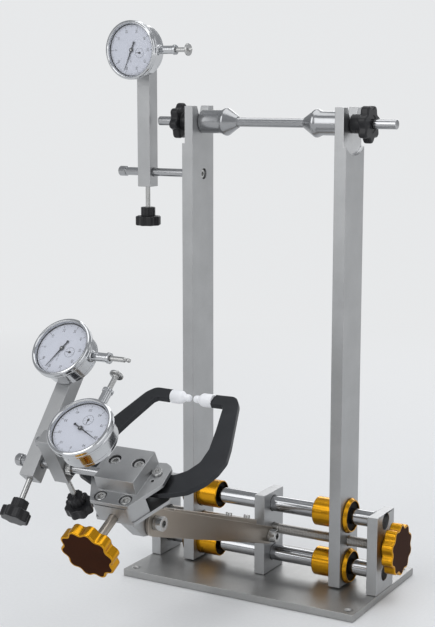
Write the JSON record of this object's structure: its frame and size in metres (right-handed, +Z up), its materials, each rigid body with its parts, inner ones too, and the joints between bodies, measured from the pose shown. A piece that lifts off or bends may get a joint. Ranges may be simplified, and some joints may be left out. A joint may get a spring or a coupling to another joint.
{
  "type": "wheel_truing_stand",
  "caption": "Wheel truing stand with sliding uprights, a tilting two-arm caliper head and dial gauges on swinging bars.",
  "frame": {"origin": "Middle of the base plate's underside, where the stand meets the bench.", "axes": "+Z up, +X to the right along the guide rods, -Y to the front, where the caliper head hangs."},
  "size_m": [0.314, 0.3924, 0.5432],
  "materials": {
    "base": "satin",
    "plate": "satin",
    "arm": "satin",
    "rod": "polished",
    "bolt": "polished",
    "link": "brushed",
    "gold": "polished",
    "black": "matte",
    "nylon": "satin",
    "case": "polished",
    "bezel": "polished",
    "dial": "matte",
    "pointer": "matte"
  },
  "bodies": {
    "frame": {"base_plate": "base", "end_plate_left": "plate", "end_plate_right": "plate", "centre_plate": "plate", "guide_rod_upper": "rod", "guide_rod_lower": "rod"},
    "width_screw": {"lead_screw": "bolt", "width_knob": "gold"},
    "left_upright": {"upright_left": "plate", "bushing_left_lower": "gold", "bushing_left_upper": "gold", "cone_left": "rod", "axle_rod": "rod", "upper_rod": "rod"},
    "right_upright": {"upright_right": "plate", "bushing_right_lower": "gold", "bushing_right_upper": "gold", "cone_right": "rod"},
    "left_star": {"star_knob_left": "black"},
    "right_star": {"star_knob_right": "black"},
    "upper_arm": {"upper_bar": "plate", "upper_case": "case"},
    "link_frame": {"link_left": "link", "link_right": "link", "link_spine": "link", "rear_pivot": "bolt", "front_pivot": "bolt"},
    "head": {"caliper_top": "plate", "caliper_body": "plate", "arm_pivot_left": "bolt", "arm_pivot_right": "bolt", "gauge_rod": "rod"},
    "left_jaw": {"arm_left": "arm", "tip_left": "nylon"},
    "right_jaw": {"arm_right": "arm", "tip_right": "nylon"},
    "spreader": {"spreader_nut": "bolt"},
    "head_screw": {"caliper_screw": "link", "caliper_knob": "gold"},
    "lateral_arm": {"lateral_bar": "plate", "lateral_case": "case"},
    "radial_arm": {"radial_bar": "plate", "cross_rod": "rod", "radial_case": "case"},
    "upper_clamp_screw": {"upper_clamp": "black"},
    "upper_ring": {"upper_bezel": "bezel", "upper_scale": "dial"},
    "upper_hand": {"upper_pointer": "pointer"},
    "upper_plunger": {"upper_spindle": "bolt"},
    "lateral_clamp_screw": {"lateral_clamp": "black"},
    "lateral_ring": {"lateral_bezel": "bezel", "lateral_scale": "dial"},
    "lateral_hand": {"lateral_pointer": "pointer"},
    "lateral_plunger": {"lateral_spindle": "bolt"},
    "radial_clamp_screw": {"radial_clamp": "black"},
    "radial_ring": {"radial_bezel": "bezel", "radial_scale": "dial"},
    "radial_hand": {"radial_pointer": "pointer"},
    "radial_plunger": {"radial_spindle": "bolt"}
  },
  "joints": [
    {"name": "right_upright_slide", "type": "slide", "parent": "frame", "child": "right_upright", "axis": [1, 0, 0], "range_m": [-0.028, 0.018]},
    {"name": "left_upright_slide", "type": "slide", "parent": "frame", "child": "left_upright", "axis": [-1, 0, 0], "range_m": [-0.0281, 0.0181]},
    {"name": "width_knob_turn", "type": "hinge", "parent": "frame", "child": "width_screw", "pos_m": [0, 0, 0.0503], "axis": [1, 0, 0], "range_deg": [-5050, 3250]},
    {"name": "left_star_turn", "type": "hinge", "parent": "left_upright", "child": "left_star", "pos_m": [-0.1, 0, 0.447], "axis": [1, 0, 0], "continuous": true},
    {"name": "right_star_turn", "type": "hinge", "parent": "right_upright", "child": "right_star", "pos_m": [0.1, 0, 0.447], "axis": [1, 0, 0], "continuous": true},
    {"name": "upper_arm_swing", "type": "hinge", "parent": "left_upright", "child": "upper_arm", "pos_m": [-0.1392, 0, 0.3965], "axis": [1, 0, 0], "range_deg": [-75, 75]},
    {"name": "link_swing", "type": "hinge", "parent": "frame", "child": "link_frame", "pos_m": [0, -0.0145, 0.047], "axis": [1, 0, 0], "range_deg": [-20, 15]},
    {"name": "head_tilt", "type": "hinge", "parent": "link_frame", "child": "head", "pos_m": [0, -0.2209, 0.1178], "axis": [1, 0, 0], "range_deg": [-15, 15]},
    {"name": "spreader_slide", "type": "slide", "parent": "head", "child": "spreader", "axis": [0, 0.8788, 0.4772], "range_m": [0, 0.0024]},
    {"name": "head_screw_turn", "type": "hinge", "parent": "head", "child": "head_screw", "pos_m": [0, -0.27623, 0.13168], "axis": [0, 0.8788, 0.4772], "range_deg": [-2, 866]},
    {"name": "right_jaw_turn", "type": "hinge", "parent": "head", "child": "right_jaw", "pos_m": [0.0239, -0.23662, 0.15933], "axis": [0, 0.4772, -0.8788], "range_deg": [-0.05, 10.05]},
    {"name": "left_jaw_turn", "type": "hinge", "parent": "head", "child": "left_jaw", "pos_m": [-0.0239, -0.23662, 0.15933], "axis": [0, -0.4772, 0.8788], "range_deg": [-0.05, 10.05]},
    {"name": "lateral_arm_swing", "type": "hinge", "parent": "head", "child": "lateral_arm", "pos_m": [-0.0877, -0.25643, 0.16564], "axis": [1, 0, 0], "range_deg": [-25, 25]},
    {"name": "radial_arm_swing", "type": "hinge", "parent": "head", "child": "radial_arm", "pos_m": [-0.0623, -0.25643, 0.16564], "axis": [1, 0, 0], "range_deg": [-20, 12]},
    {"name": "upper_clamp_turn", "type": "hinge", "parent": "upper_arm", "child": "upper_clamp_screw", "pos_m": [-0.1392, 0, 0.3535], "axis": [0, 0, 1], "continuous": true},
    {"name": "lateral_clamp_turn", "type": "hinge", "parent": "lateral_arm", "child": "lateral_clamp_screw", "pos_m": [-0.0877, -0.28338, 0.13213], "axis": [0, 0.6266, 0.7793], "continuous": true},
    {"name": "radial_clamp_turn", "type": "hinge", "parent": "radial_arm", "child": "radial_clamp_screw", "pos_m": [-0.0623, -0.23403, 0.12894], "axis": [0, -0.521, 0.8536], "continuous": true},
    {"name": "upper_ring_turn", "type": "hinge", "parent": "upper_arm", "child": "upper_ring", "pos_m": [-0.1392, -0.03125, 0.515], "axis": [0, -1, 0], "continuous": true},
    {"name": "upper_plunger_slide", "type": "slide", "parent": "upper_arm", "child": "upper_plunger", "axis": [-1, 0, 0], "range_m": [0, 0.007], "stiffness_N_per_m": 60, "springref_m": -0.005},
    {"name": "upper_hand_turn", "type": "hinge", "parent": "upper_arm", "child": "upper_hand", "pos_m": [-0.1392, -0.03125, 0.515], "axis": [0, 1, 0], "range_deg": [-2, 2522]},
    {"name": "lateral_ring_turn", "type": "hinge", "parent": "lateral_arm", "child": "lateral_ring", "pos_m": [-0.0877, -0.22063, 0.26004], "axis": [0, -0.7793, 0.6266], "continuous": true},
    {"name": "lateral_plunger_slide", "type": "slide", "parent": "lateral_arm", "child": "lateral_plunger", "axis": [-1, 0, 0], "range_m": [0, 0.007], "stiffness_N_per_m": 60, "springref_m": -0.005},
    {"name": "lateral_hand_turn", "type": "hinge", "parent": "lateral_arm", "child": "lateral_hand", "pos_m": [-0.0877, -0.22063, 0.26004], "axis": [0, 0.7793, -0.6266], "range_deg": [-2, 2522]},
    {"name": "radial_ring_turn", "type": "hinge", "parent": "radial_arm", "child": "radial_ring", "pos_m": [-0.017, -0.29313, 0.21432], "axis": [0, -0.6626, 0.749], "continuous": true},
    {"name": "radial_plunger_slide", "type": "slide", "parent": "radial_arm", "child": "radial_plunger", "axis": [0, -0.749, -0.6626], "range_m": [0, 0.007], "stiffness_N_per_m": 60, "springref_m": -0.005},
    {"name": "radial_hand_turn", "type": "hinge", "parent": "radial_arm", "child": "radial_hand", "pos_m": [-0.017, -0.29313, 0.21432], "axis": [0, 0.6626, -0.749], "range_deg": [-2, 2522]}
  ],
  "couplings": [
    {"joint": "left_upright_slide", "follows": "right_upright_slide", "ratio": 1},
    {"joint": "width_knob_turn", "follows": "right_upright_slide", "rad_per_m": 3141.6},
    {"joint": "head_screw_turn", "follows": "spreader_slide", "rad_per_m": 6283.2},
    {"joint": "right_jaw_turn", "follows": "spreader_slide", "rad_per_m": 72.722},
    {"joint": "left_jaw_turn", "follows": "spreader_slide", "rad_per_m": 72.722},
    {"joint": "upper_hand_turn", "follows": "upper_plunger_slide", "rad_per_m": 6283.2},
    {"joint": "lateral_hand_turn", "follows": "lateral_plunger_slide", "rad_per_m": 6283.2},
    {"joint": "radial_hand_turn", "follows": "radial_plunger_slide", "rad_per_m": 6283.2}
  ]
}
